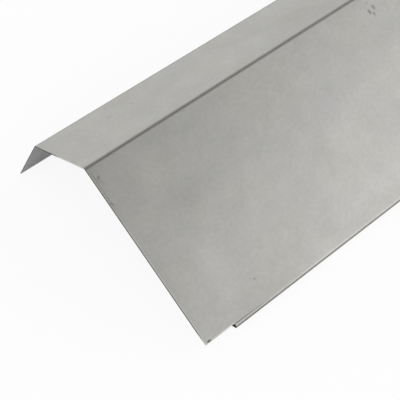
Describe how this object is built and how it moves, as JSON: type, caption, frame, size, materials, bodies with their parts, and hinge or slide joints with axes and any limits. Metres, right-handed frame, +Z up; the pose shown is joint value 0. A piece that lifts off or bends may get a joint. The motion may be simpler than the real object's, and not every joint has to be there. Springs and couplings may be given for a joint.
{
  "type": "fascia cap",
  "caption": "Folded galvanised sheet fascia cap: back lip, sloping top flange and long face with its foot turned back under, notched at one end for a lap.",
  "frame": {"origin": "middle of the footprint, on the floor that the cap lies on", "axes": "+Y along the length, from the end with the lap notch to the plain end; +X from the lip towards the foot of the long face; +Z up, towards the ridge bend"},
  "size_m": [0.22, 2, 0.0842],
  "materials": {
    "galvanised_steel": "hot-dip galvanised, lightly weathered to a matt grey"
  },
  "bodies": {
    "root": {"fascia_cap": "galvanised_steel"}
  },
  "joints": []
}
